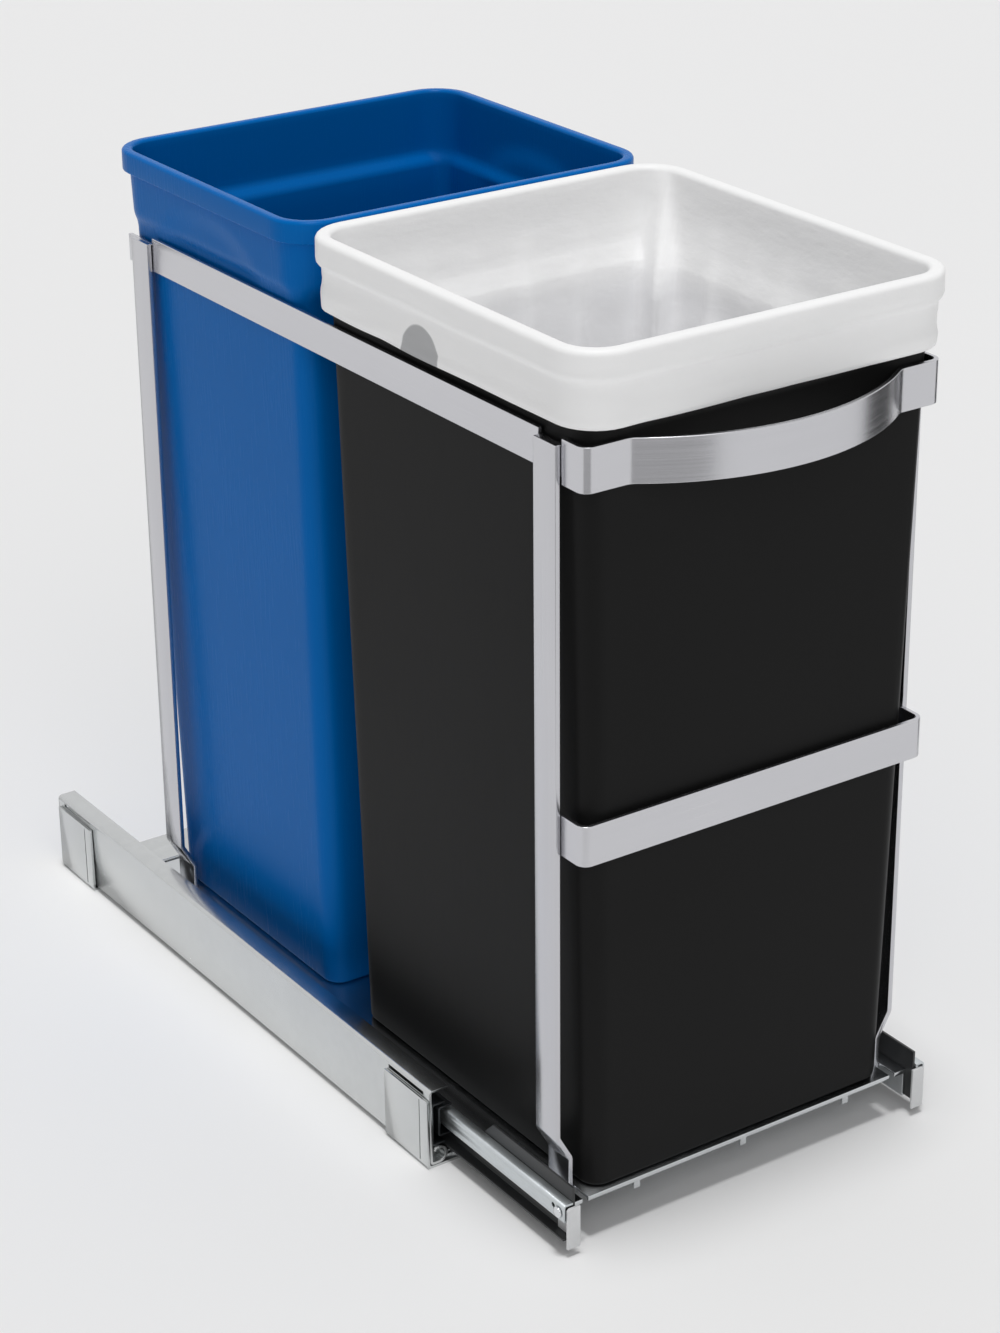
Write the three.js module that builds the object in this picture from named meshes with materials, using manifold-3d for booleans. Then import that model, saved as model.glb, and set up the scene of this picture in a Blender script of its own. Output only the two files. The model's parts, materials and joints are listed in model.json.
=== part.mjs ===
// Pull-out waste unit for a kitchen base cabinet: two bin buckets on a carriage that
// runs on telescopic ball slides. Millimetres, +Z up, the front (handle) faces -Y.
// The carriage is drawn partly pulled out, 105 mm from shut.
import * as THREE from "three";
import { mergeVertices } from "three/addons/utils/BufferGeometryUtils.js";
import Module from "manifold-3d";

const wasm = await Module();
wasm.setup();

// ---------------------------------------------------------------- driving dimensions

const clearance = 0.3; // between touching sheets and members

// Fixed base
const railWidth = 264; // over the outsides of the fixed rails
const railLength = 426;
const railSheet = 1.5;
const railHeadroom = 9.5; // rail tops above the slides
const railTopFlange = 11.5;
const railBeadRadius = 4.45; // of the curl along the rail's bottom edge
const railBeadInset = 0.5; // web to the curl
const railBeadTurn = 225; // degrees of curl
const railSlotLength = 34; // slots in the rail's web, above each foot
const railSlotHeight = 2.3;
const frontSlotInset = 6;
const rearSlotInset = 8;
const footLength = 42;
const footSheet = 1.5;
const footHeight = 42;
const footFlangeWidth = 32;
const footScrewHole = 5;
const footScrewInset = 9; // from the flange's inner edge
const rearFootInset = 3; // rail ends to the rear feet
const footGrooveInset = 7;
const footGrooveWidth = 1;
const footGrooveDepth = 0.6;
const tieWidth = 30;
const tieGap = 3.6; // tie ends to the rails' curls
const sheetBend = 1.5; // bend radius of the rails and feet

// Telescopic slides: outer, middle and inner member, each a channel on its side
const pulledOut = 105; // carriage travel already used in the drawn pose
const closedGap = 2; // end plates to rail fronts when shut
const slideSheet = 1.2;
const slideBend = 1.2;
const slideEndInset = 1; // outer members inside the rail ends
const outerSlideHeight = 26;
const middleSlideShorter = 70; // than the rails
const middleSlideInset = 2;
const outerWebGap = 3.8; // outer member's web to the middle member's
const innerWebGap = 3; // middle member's web to the inner member's
const outerLipReach = 3.4; // outer member's flanges, in past the middle member's web
const middleLipReach = 3.2; // middle member's flanges, in past the inner member's web
const innerFlange = 6;
const ballDiameter = 2;
const ballsPerRow = 4;
const ballPitch = 28;
const outerBallInset = 0.1; // flange edges to the balls
const innerBallInset = 0.3;
const cageSheet = 0.8;
const cageMargin = 13; // last ball to the cage's end
const cageMiddle = -50; // where the cages stand in the drawn pose

// Carriage
const trayAboveSlides = 0.5; // tray top over the slides' centre line
const traySheet = 1.5;
const traySetback = 6; // end plates to the tray's front
const trayOverhang = 3; // past the rear bucket
const trayLipDrop = 1;
const tabWidth = 4;
const tabDrop = 4; // tabs below the tray's front lip
const tabSpacing = 70;
const channelSheet = 1.5;
const channelBottom = 9; // floor to the channels' ledges
const channelSetback = 1; // channels behind the end plates and ahead of the tray's end
const channelLip = 1; // channel webs above the tray
const ledgeSetback = 0.3; // channel ledges inside the inner slide members' webs
const guardHeight = 12; // side channel above its web, at the front
const guardLength = 73;
const endPlateSheet = 1.5;
const endPlateWidth = 8;
const endPlateInset = 1.5; // plates inside the inner slide members' webs
const endPlateRise = 3; // plate tops above the tray
const endPlateBottom = 4.5;
const endPlateChamfer = 1;
const endPlateReturn = 12;
const screwHeadRadius = 3.2;
const screwHeadHeight = 1.8;
const screwShankRadius = 1.6;
const screwLength = 3.5;
const screwSetback = 4.6;
const spareHoleRadius = 1.5;
const spareHoleSetback = 9.4;
const spareHoleRise = 1.5; // over the slides' centre line

const postWidth = 18;
const postSheet = 3;
const postRimInset = 1.2; // posts inside the bucket rims
const postBelowStrap = 3; // post tops under the straps' tops
const postFootBottom = 14;
const postBend = 4;
const joggleRise = 17; // tray top to the joggle's lower bend
const joggleHeight = 14;
const joggleInset = 7.8;
const frontPostSetback = 19; // end plates to the front posts' front edges
const rearPostInset = 24; // rear posts' rear edges to the tray's rear end

const bandSheet = 2.5;
const strapHeight = 19;
const strapBelowShoulder = 3.5;
const strapLapDrop = 0.5; // straps under the post tops where they lap behind them
const strapTail = 9; // straps past the rear posts
const handleHeight = 23;
const midBandTop = 242;
const midBandHeight = 22;
const bandBend = 6;
const bandSetback = 1; // front bands' outer faces behind the end plates' backs
const bowChord = 164;
const bowDepth = 27;
const bowEndBend = 8;

// Buckets and liner
const rimHeight = 483; // floor to bucket rims
const rimChannelInset = 1.2; // rims inside the side channels
const bucketClearance = 1; // bucket bodies inside the bands
const sideTaper = 8; // narrower at the bottom, each side
const endTaper = 4;
const frontBucketLength = 246; // over the rim
const rearBucketLength = 202;
const rimGap = 5.5; // between the two rims
const frontRimOverhang = 5; // front rim ahead of the end plates' backs
const bucketWall = 2.2;
const rimLip = 4; // lip proud of the collar
const collarSetback = 1; // collar's foot inside its top
const lipHeight = 12;
const collarHeight = 42.5; // rim to shoulder
const shoulderRadius = 6;
const bucketFootRadius = 3;
const rimCornerRadius = 24;
const bodyCornerRadius = 11;
const gripLength = 108; // pressed hand grips in the collars
const gripRise = 24;
const gripDepth = 2;
const linerSheet = 0.8;
const linerDrop = 38; // cuff length outside the rim
const linerFloor = 6; // slack above the bucket's floor
const linerFlare = 1.2; // cuff outwards of the collar, under the lip

// ---------------------------------------------------------------- derived places

const railFront = -railLength / 2;
const railRear = railLength / 2;
const railOuter = railWidth / 2;
const railInner = railOuter - railSheet;
const railWeb = railOuter - railSheet / 2; // middle of the web's sheet
const beadCentre = railWeb - railBeadInset - railBeadRadius;
const beadInner = beadCentre - railBeadRadius - railSheet / 2;
const beadTop = footSheet + clearance + railSheet + 2 * railBeadRadius;

const footOutside = railOuter + clearance + footSheet;
const footScrewX = footOutside - footFlangeWidth + footScrewInset;

// Slide members, outwards to inwards. Each entry is a half width from the centre plane.
const outerWebOuter = railInner - clearance;
const outerWebInner = outerWebOuter - slideSheet;
const middleWebOuter = outerWebInner - outerWebGap;
const middleWebInner = middleWebOuter - slideSheet;
const innerWebOuter = middleWebInner - innerWebGap;
const innerWebInner = innerWebOuter - slideSheet;
const outerLip = middleWebOuter - outerLipReach;
const middleLip = innerWebInner - middleLipReach;
const innerLip = innerWebOuter - innerFlange;

const ballGap = ballDiameter + 2 * clearance;
const outerSlideHalf = outerSlideHeight / 2;
const middleSlideHalf = outerSlideHalf - slideSheet - ballGap;
const innerSlideHalf = middleSlideHalf - slideSheet - ballGap;
const slideBottom = beadTop + clearance;
const slideLevel = slideBottom + outerSlideHalf; // the slides' centre line
const railHeight = slideLevel + outerSlideHalf + railHeadroom;
const slideFront = railFront + slideEndInset;
const slideRear = railRear - slideEndInset;
const middleSlideFront = railFront + middleSlideInset;
const middleSlideRear = middleSlideFront + railLength - middleSlideShorter;

const carriageFront = railFront - closedGap - pulledOut; // back faces of the end plates
const innerSlideRear = slideRear - pulledOut; // just inside the rail's end when shut

const trayLevel = slideLevel + trayAboveSlides; // the buckets stand on the tray
const trayFront = carriageFront + traySetback;
const channelOuter = innerLip - clearance;
const channelInner = channelOuter - channelSheet;
const trayHalfWidth = channelInner - clearance;

const rimHalfWidth = channelOuter - rimChannelInset;
const postOuter = rimHalfWidth - postRimInset;
const postInner = postOuter - postSheet;
const bandOuter = postInner - clearance;
const bandInner = bandOuter - bandSheet;
const bucketHalfWidth = bandInner - bucketClearance; // body, just under the shoulder
const bandFront = carriageFront + bandSetback;

const frontRim = carriageFront - frontRimOverhang;
const bucketEndNeck = bandFront + bandSheet + bucketClearance - frontRim;
const frontBucket = { front: frontRim, back: frontRim + frontBucketLength };
const rearBucket = {
  front: frontBucket.back + rimGap,
  back: frontBucket.back + rimGap + rearBucketLength,
};
const trayRear = rearBucket.back + trayOverhang;

const frontPostFront = carriageFront + frontPostSetback;
const frontPostRear = frontPostFront + postWidth;
const rearPostRear = trayRear - rearPostInset;
const rearPostFront = rearPostRear - postWidth;
const bandSplit = frontPostFront + postWidth / 2; // where front bands meet the straps

const shoulderLevel = rimHeight - collarHeight;
const strapTop = shoulderLevel - strapBelowShoulder;
const postTop = strapTop - postBelowStrap;
const bucketFloor = trayLevel + clearance;

const bowHalf = bowChord / 2;
const handleFront = bandFront - bowDepth;

// The frame's origin is under the middle of the whole unit, at floor level.
const unitCentre = (handleFront + railRear) / 2;

// ---------------------------------------------------------------- shape helpers

const margin = 1; // how far a cutting tool runs past the face it cuts
const vector = (x, y) => new THREE.Vector2(x, y);

function solidOf(geometry) {
  const bare = geometry.clone();
  bare.deleteAttribute("normal");
  bare.deleteAttribute("uv");
  const merged = mergeVertices(bare, 1e-4);
  return new wasm.Manifold(
    new wasm.Mesh({
      numProp: 3,
      vertProperties: new Float32Array(merged.attributes.position.array),
      triVerts: new Uint32Array(merged.index.array),
    }),
  );
}

function geometryOf(solid) {
  const mesh = solid.getMesh();
  const geometry = new THREE.BufferGeometry();
  geometry.setAttribute("position", new THREE.BufferAttribute(mesh.vertProperties, 3));
  geometry.setIndex(new THREE.BufferAttribute(mesh.triVerts, 1));
  return geometry;
}

function joined(geometries) {
  return geometryOf(geometries.map(solidOf).reduce((whole, next) => whole.add(next)));
}

function cut(geometry, tools) {
  const start = solidOf(geometry);
  return geometryOf(tools.map(solidOf).reduce((whole, tool) => whole.subtract(tool), start));
}

// A box from two opposite corners.
function box(one, other) {
  const low = one.map((value, axis) => Math.min(value, other[axis]));
  const size = one.map((value, axis) => Math.abs(other[axis] - value));
  const geometry = new THREE.BoxGeometry(...size);
  return geometry.translate(...low.map((value, axis) => value + size[axis] / 2));
}

// A round bar along X, its centre line given as [y, z].
function barAlongX(radius, from, to, [y, z], segments = 20) {
  const geometry = new THREE.CylinderGeometry(radius, radius, to - from, segments);
  return geometry.rotateZ(-Math.PI / 2).translate((from + to) / 2, y, z);
}

// A round bar along Z, its centre line given as [x, y].
function barAlongZ(radius, from, to, [x, y], segments = 20) {
  const geometry = new THREE.CylinderGeometry(radius, radius, to - from, segments);
  return geometry.rotateX(Math.PI / 2).translate(x, y, (from + to) / 2);
}

// Corner points joined by straight runs, each corner rounded on the centre line.
// A corner marked plain stays as it is, and one with a radius of its own takes that.
function roundedRun(corners, radius, steps) {
  const points = [corners[0]];
  for (let i = 1; i < corners.length - 1; i++) {
    const here = corners[i];
    if (here.plain) {
      points.push(here);
      continue;
    }
    const before = corners[i - 1].clone().sub(here).normalize();
    const after = corners[i + 1].clone().sub(here).normalize();
    const half = before.angleTo(after) / 2;
    const bend = here.radius ?? radius;
    const inwards = before.clone().add(after).normalize();
    const centre = here.clone().addScaledVector(inwards, bend / Math.sin(half));
    const start = here.clone().addScaledVector(before, bend / Math.tan(half)).sub(centre);
    const end = here.clone().addScaledVector(after, bend / Math.tan(half)).sub(centre);
    const turn = Math.atan2(start.x * end.y - start.y * end.x, start.dot(end));
    for (let step = 0; step <= steps; step++) {
      const spoke = start.clone().rotateAround(new THREE.Vector2(), (turn * step) / steps);
      points.push(centre.clone().add(spoke));
    }
  }
  points.push(corners[corners.length - 1]);
  return points;
}

// The closed outline of a strip of sheet that follows a centre line.
function sheetOutline(line, sheet) {
  const left = [];
  const right = [];
  line.forEach((point, i) => {
    const before = line[Math.max(i - 1, 0)];
    const after = line[Math.min(i + 1, line.length - 1)];
    const into = (i > 0 ? point.clone().sub(before) : after.clone().sub(point)).normalize();
    const outOf = (i < line.length - 1 ? after.clone().sub(point) : into.clone()).normalize();
    const along = into.clone().add(outOf).normalize();
    const reach = sheet / 2 / along.dot(into);
    const across = vector(-along.y, along.x).multiplyScalar(reach);
    left.push(point.clone().add(across));
    right.unshift(point.clone().sub(across));
  });
  return new THREE.Shape([...left, ...right]);
}

// An outline in (x, y), given a height.
function upright(shape, bottom, top) {
  const geometry = new THREE.ExtrudeGeometry(shape, { depth: top - bottom, bevelEnabled: false });
  return geometry.translate(0, 0, bottom);
}

// An outline in (x, z), run along Y.
function alongY(shape, from, to) {
  const geometry = new THREE.ExtrudeGeometry(shape, { depth: to - from, bevelEnabled: false });
  return geometry.rotateX(Math.PI / 2).translate(0, to, 0);
}

// An outline in (y, z), run along X.
function alongX(shape, from, to) {
  const geometry = new THREE.ExtrudeGeometry(shape, { depth: to - from, bevelEnabled: false });
  return geometry.rotateX(Math.PI / 2).rotateZ(Math.PI / 2).translate(from, 0, 0);
}

// The right-hand piece is drawn; the left-hand one is its mirror image.
function mirrored(geometry) {
  const copy = geometry.index ? geometry.toNonIndexed() : geometry.clone();
  const spots = copy.attributes.position;
  for (let i = 0; i < spots.count; i += 3) {
    const corners = [0, 2, 1].map((k) => [-spots.getX(i + k), spots.getY(i + k), spots.getZ(i + k)]);
    corners.forEach((corner, k) => spots.setXYZ(i + k, ...corner));
  }
  copy.deleteAttribute("normal");
  copy.deleteAttribute("uv");
  return mergeVertices(copy, 1e-4);
}

// ---------------------------------------------------------------- finishes

const finishes = {
  zinc: { color: 0xc4c7c7, roughness: 0.4, metalness: 0.9 },
  brushedSteel: { color: 0xbdbdc0, roughness: 0.33, metalness: 1 },
  slideSteel: { color: 0xadb3b4, roughness: 0.35, metalness: 0.9 },
  cageSteel: { color: 0x5a5d5f, roughness: 0.45, metalness: 0.9 },
  blackSteel: { color: 0x2a2b2c, roughness: 0.45, metalness: 0.3 },
  paleZinc: { color: 0xd2d3d4, roughness: 0.45, metalness: 0.4 },
  bluePlastic: { color: 0x0058a0, roughness: 0.3, metalness: 0 },
  blackPlastic: { color: 0x242424, roughness: 0.5, metalness: 0 },
  film: { color: 0xebebeb, roughness: 0.55, metalness: 0 },
};

const unit = new THREE.Group();
unit.position.y = -unitCentre;

function place(name, geometry, finish) {
  const mesh = new THREE.Mesh(geometry, new THREE.MeshStandardMaterial(finishes[finish]));
  mesh.name = name;
  unit.add(mesh);
}

function placePair(name, geometry, finish) {
  place(`${name}_right`, geometry, finish);
  place(`${name}_left`, mirrored(geometry), finish);
}

// ---------------------------------------------------------------- fixed base

// A long sheet rail: top flange, tall web, and a curled bead along the bottom edge.
function rail() {
  const top = railHeight - railSheet / 2;
  const bottom = footSheet + clearance + railSheet / 2;
  const centre = vector(beadCentre, bottom + railBeadRadius);
  const corners = [
    vector(railOuter - railTopFlange, top),
    vector(railWeb, top),
    vector(railWeb, bottom),
    vector(beadCentre, bottom),
  ];
  const line = roundedRun(corners, sheetBend, 3);
  const curlSteps = 12;
  const curlTurn = THREE.MathUtils.degToRad(railBeadTurn);
  for (let step = 1; step <= curlSteps; step++) {
    const angle = -Math.PI / 2 - (curlTurn * step) / curlSteps;
    const spoke = vector(Math.cos(angle), Math.sin(angle)).multiplyScalar(railBeadRadius);
    line.push(centre.clone().add(spoke));
  }
  const slotBottom = footHeight + margin;
  const slot = (from) =>
    box(
      [railInner - margin, from, slotBottom],
      [railOuter + margin, from + railSlotLength, slotBottom + railSlotHeight],
    );
  return cut(alongY(sheetOutline(line, railSheet), railFront, railRear), [
    slot(railFront + frontSlotInset),
    slot(railRear - rearSlotInset - railSlotLength),
  ]);
}

// A folded bracket under a rail end, screwed to the cabinet floor.
function foot(from) {
  const web = footOutside - footSheet / 2;
  const corners = [
    vector(web, footHeight),
    vector(web, footSheet / 2),
    vector(footOutside - footFlangeWidth, footSheet / 2),
  ];
  const bracket = alongY(sheetOutline(roundedRun(corners, sheetBend, 3), footSheet), from, from + footLength);
  const grooveFront = from + footGrooveInset;
  const groove = box(
    [footOutside - footGrooveDepth, grooveFront, 2 * footSheet],
    [footOutside + margin, grooveFront + footGrooveWidth, footHeight - footSheet],
  );
  const middle = from + footLength / 2;
  const hole = barAlongZ(footScrewHole / 2, -margin, footSheet + margin, [footScrewX, middle]);
  return cut(bracket, [groove, hole]);
}

// A flat bar across the base, resting on the feet's flanges under the same screws.
function crossTie(middle) {
  const reach = beadInner - tieGap;
  const low = footSheet + clearance;
  const high = low + footSheet;
  const hole = (x) => barAlongZ(footScrewHole / 2, low - margin, high + margin, [x, middle]);
  const strip = box([-reach, middle - tieWidth / 2, low], [reach, middle + tieWidth / 2, high]);
  return cut(strip, [hole(footScrewX), hole(-footScrewX)]);
}

// ---------------------------------------------------------------- telescopic slides

// One slide member: a channel lying on its side, its web outwards.
function member(webOuter, lip, half, from, to) {
  const web = webOuter - slideSheet / 2;
  const flange = half - slideSheet / 2;
  const corners = [
    vector(lip, slideLevel + flange),
    vector(web, slideLevel + flange),
    vector(web, slideLevel - flange),
    vector(lip, slideLevel - flange),
  ];
  return alongY(sheetOutline(roundedRun(corners, slideBend, 3), slideSheet), from, to);
}

// The inner member ends short of the carriage's rear, and is drilled at its front.
function innerMember() {
  const front = carriageFront + clearance;
  const channel = member(innerWebOuter, innerLip, innerSlideHalf, front, innerSlideRear);
  const hole = (radius, setback, level) =>
    barAlongX(radius, innerLip - margin, innerWebOuter + margin, [carriageFront + setback, level]);
  return cut(channel, [
    hole(screwShankRadius + clearance, screwSetback, slideLevel),
    hole(spareHoleRadius, spareHoleSetback, slideLevel + spareHoleRise),
  ]);
}

// A ball cage between two members: a thin channel that carries a row of balls on each
// flange. `level` is how far the rows lie above and below the slides' centre line.
function ballCage(web, flangeEdge, level) {
  const halfLength = ((ballsPerRow - 1) * ballPitch) / 2 + cageMargin;
  const line = [
    vector(flangeEdge, slideLevel + level),
    vector(web, slideLevel + level),
    vector(web, slideLevel - level),
    vector(flangeEdge, slideLevel - level),
  ];
  const channel = alongY(sheetOutline(line, cageSheet), cageMiddle - halfLength, cageMiddle + halfLength);
  const balls = [-1, 1].flatMap((side) =>
    Array.from({ length: ballsPerRow }, (_, i) => {
      const y = cageMiddle + (i - (ballsPerRow - 1) / 2) * ballPitch;
      const ball = new THREE.IcosahedronGeometry(ballDiameter / 2, 1);
      return ball.translate(flangeEdge + ballDiameter / 2, y, slideLevel + side * level);
    }),
  );
  return joined([channel, ...balls]);
}

const outerCage = () =>
  ballCage(
    (outerWebInner + middleWebOuter) / 2,
    outerLip + outerBallInset,
    (outerSlideHalf - slideSheet + middleSlideHalf) / 2,
  );

const innerCage = () =>
  ballCage(
    (middleWebInner + innerWebOuter) / 2,
    middleLip + innerBallInset,
    (middleSlideHalf - slideSheet + innerSlideHalf) / 2,
  );

// ---------------------------------------------------------------- carriage

// The sheet tray that the buckets stand on, its edges turned down, with three small
// tabs under the front lip. The posts' feet pass through slots near its corners.
function tray() {
  const half = trayHalfWidth;
  const under = trayLevel - traySheet;
  const overlap = traySheet / 3;
  const wall = (x) =>
    box([x, trayFront + overlap, channelBottom], [x + traySheet, trayRear, under + overlap]);
  const lip = (y) => box([-half, y, under - trayLipDrop], [half, y + traySheet, under + overlap]);
  const tab = (x) =>
    box(
      [x - tabWidth / 2, trayFront, under - trayLipDrop - tabDrop],
      [x + tabWidth / 2, trayFront + traySheet, under],
    );
  const whole = joined([
    box([-half, trayFront, under], [half, trayRear, trayLevel]),
    wall(-half),
    wall(half - traySheet),
    lip(trayFront),
    lip(trayRear - traySheet),
    ...[-1, 0, 1].map((step) => tab(step * tabSpacing)),
  ]);
  const footOuter = postOuter - joggleInset + clearance;
  const footInner = postInner - joggleInset - clearance;
  const slot = (side, from, to) =>
    box(
      [side * footInner, from, under - trayLipDrop - margin],
      [side * footOuter, to, trayLevel + margin],
    );
  const slots = [-1, 1].flatMap((side) => [
    slot(side, trayFront - margin, frontPostRear + clearance),
    slot(side, rearPostFront - clearance, rearPostRear + clearance),
  ]);
  return cut(whole, slots);
}

// A flat steel post whose foot is joggled inwards, down through the tray.
function post(front) {
  const upper = postOuter - postSheet / 2;
  const lower = upper - joggleInset;
  const joggleBottom = trayLevel + joggleRise;
  const corners = [
    vector(upper, postTop),
    vector(upper, joggleBottom + joggleHeight),
    vector(lower, joggleBottom),
    vector(lower, postFootBottom),
  ];
  return alongY(sheetOutline(roundedRun(corners, postBend, 3), postSheet), front, front + postWidth);
}

// A side strap: full height between the posts, lower where it laps behind each of them.
function sideStrap() {
  const low = strapTop - strapHeight;
  const lapTop = postTop - strapLapDrop;
  const frontEnd = bandSplit + clearance;
  const rearEnd = rearPostRear + strapTail;
  const outline = new THREE.Shape([
    vector(frontEnd, low),
    vector(rearEnd, low),
    vector(rearEnd, lapTop),
    vector(rearPostFront - clearance, lapTop),
    vector(rearPostFront - clearance, strapTop),
    vector(frontPostRear + clearance, strapTop),
    vector(frontPostRear + clearance, lapTop),
    vector(frontEnd, lapTop),
  ]);
  return alongX(outline, bandInner, bandOuter);
}

// The centre line of a band that wraps the front corners, as plan points.
function frontBandLine(frontRun) {
  const side = bandOuter - bandSheet / 2;
  const front = bandFront + bandSheet / 2;
  const back = bandSplit - clearance;
  return [vector(-side, back), vector(-side, front), ...frontRun, vector(side, front), vector(side, back)];
}

// The top band: one strip whose middle bows forwards as the pull handle. Behind the
// posts it is no taller than the side straps that carry it on.
function handleBand() {
  const front = bandFront + bandSheet / 2;
  const radius = (bowHalf * bowHalf + bowDepth * bowDepth) / (2 * bowDepth);
  const centre = front - bowDepth + radius;
  const halfAngle = Math.asin(bowHalf / radius);
  const bow = [];
  const bowSteps = 16;
  for (let step = 0; step <= bowSteps; step++) {
    const angle = (step / bowSteps) * 2 * halfAngle - halfAngle;
    const point = vector(radius * Math.sin(angle), centre - radius * Math.cos(angle));
    point.plain = step > 0 && step < bowSteps;
    point.radius = bowEndBend;
    bow.push(point);
  }
  const line = roundedRun(frontBandLine(bow), bandBend, 3);
  const low = strapTop - handleHeight;
  const strip = upright(sheetOutline(line, bandSheet), low, strapTop);
  const from = frontPostFront - clearance;
  const trim = (side, bottom, top) =>
    box(
      [side * (bandInner - margin), from, bottom],
      [side * (bandOuter + margin), from + postWidth, top],
    );
  return cut(
    strip,
    [-1, 1].flatMap((side) => [
      trim(side, postTop - strapLapDrop, strapTop + margin),
      trim(side, low - margin, strapTop - strapHeight),
    ]),
  );
}

// The middle band, a plain strip round the front of the front bucket.
function middleBand() {
  const line = roundedRun(frontBandLine([]), bandBend, 5);
  return upright(sheetOutline(line, bandSheet), midBandTop - midBandHeight, midBandTop);
}

// The dark side channel that ties tray and inner slide member together. Its web
// stands up beside the front bucket as a guard and slopes down behind it.
function sideChannel() {
  const front = carriageFront + channelSetback;
  const rear = trayRear - channelSetback;
  const webTop = trayLevel + channelLip;
  const guardRear = carriageFront + guardLength;
  const web = new THREE.Shape([
    vector(front, channelBottom),
    vector(rear, channelBottom),
    vector(rear, webTop),
    vector(guardRear + guardHeight, webTop),
    vector(guardRear, webTop + guardHeight),
    vector(front, webTop + guardHeight),
  ]);
  const ledge = box(
    [channelOuter - channelSheet / 2, front, channelBottom],
    [innerWebOuter - ledgeSetback, rear, channelBottom + slideSheet],
  );
  return joined([alongX(web, channelInner, channelOuter), ledge]);
}

// The small plate that closes the front of each channel, with a short return behind it.
function endPlate() {
  const outer = innerWebOuter - endPlateInset;
  const inner = outer - endPlateWidth;
  const top = trayLevel + endPlateRise;
  const face = new THREE.Shape([
    vector(inner, endPlateBottom),
    vector(outer, endPlateBottom),
    vector(outer, top - endPlateChamfer),
    vector(outer - endPlateChamfer, top),
    vector(inner, top),
  ]);
  const plate = alongY(face, carriageFront - endPlateSheet, carriageFront);
  const returnInner = channelOuter + clearance;
  const back = box(
    [returnInner, carriageFront - endPlateSheet / 2, channelBottom + slideSheet + clearance],
    [returnInner + slideSheet, carriageFront + endPlateReturn, slideLevel - innerSlideHalf - clearance],
  );
  return joined([plate, back]);
}

// A pan-head screw through the front of the inner slide member.
function frontScrew() {
  const profile = [
    vector(0, -screwLength),
    vector(screwShankRadius, -screwLength),
    vector(screwShankRadius, 0),
    vector(screwHeadRadius, 0),
    vector(screwHeadRadius, screwHeadHeight * 0.45),
    vector(screwHeadRadius * 0.62, screwHeadHeight * 0.9),
    vector(0, screwHeadHeight),
  ];
  const screw = new THREE.LatheGeometry(profile, 16).rotateZ(-Math.PI / 2);
  return screw.translate(innerWebOuter + clearance, carriageFront + screwSetback, slideLevel);
}

// ---------------------------------------------------------------- buckets and liner

const cornerSteps = 6;

// A rounded rectangle in plan, as a ring of points at one height.
function ring(rect, inset, z) {
  const half = rect.half - inset;
  const front = rect.front + inset;
  const back = rect.back - inset;
  const radius = Math.max(rect.radius - inset, 2);
  const corners = [
    [half - radius, back - radius, 0],
    [-half + radius, back - radius, 1],
    [-half + radius, front + radius, 2],
    [half - radius, front + radius, 3],
  ];
  return corners.flatMap(([x, y, quarter]) => {
    const points = [];
    for (let step = 0; step <= cornerSteps; step++) {
      const angle = ((quarter + step / cornerSteps) * Math.PI) / 2;
      points.push([x + radius * Math.cos(angle), y + radius * Math.sin(angle), z]);
    }
    return points;
  });
}

// A closed skin through rings of equal count, capped at its first and last ring.
function loft(rings) {
  const count = rings[0].length;
  const positions = rings.flat(2);
  const index = [];
  for (let level = 0; level < rings.length - 1; level++) {
    for (let i = 0; i < count; i++) {
      const a = level * count + i;
      const b = level * count + ((i + 1) % count);
      index.push(a, b, b + count, a, b + count, a + count);
    }
  }
  const last = (rings.length - 1) * count;
  for (let i = 1; i < count - 1; i++) {
    index.push(0, i + 1, i);
    index.push(last, last + i, last + i + 1);
  }
  const geometry = new THREE.BufferGeometry();
  geometry.setAttribute("position", new THREE.Float32BufferAttribute(positions, 3));
  geometry.setIndex(index);
  return geometry;
}

// Plan outlines of a bucket at its rim, under its shoulder and at its foot.
function bucketRects(bucket) {
  const rim = { half: rimHalfWidth, front: bucket.front, back: bucket.back, radius: rimCornerRadius };
  const top = {
    half: bucketHalfWidth,
    front: bucket.front + bucketEndNeck,
    back: bucket.back - bucketEndNeck,
    radius: bodyCornerRadius,
  };
  const bottom = {
    half: bucketHalfWidth - sideTaper,
    front: top.front + endTaper,
    back: top.back - endTaper,
    radius: bodyCornerRadius,
  };
  return { rim, top, bottom };
}

function quarterFillet(radius, steps) {
  return Array.from({ length: steps + 1 }, (_, step) => {
    const angle = ((step / steps) * Math.PI) / 2;
    return { inset: radius * (1 - Math.sin(angle)), rise: radius * (1 - Math.cos(angle)) };
  });
}

// The bucket's skin, `inset` inside its outer faces, from its foot up to the lip.
function bucketSide({ rim, top, bottom }, inset) {
  const footRadius = Math.max(bucketFootRadius - inset, 3);
  const foot = quarterFillet(footRadius, 3).map((step) =>
    ring(bottom, inset + step.inset, bucketFloor + inset + step.rise),
  );
  const collarFoot = rimLip + collarSetback + inset;
  return [
    ...foot,
    ring(top, inset, shoulderLevel),
    ring(rim, collarFoot + shoulderRadius / 3, shoulderLevel + shoulderRadius * 0.3),
    ring(rim, collarFoot, shoulderLevel + shoulderRadius),
    ring(rim, rimLip + inset, rimHeight - lipHeight),
  ];
}

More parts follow.
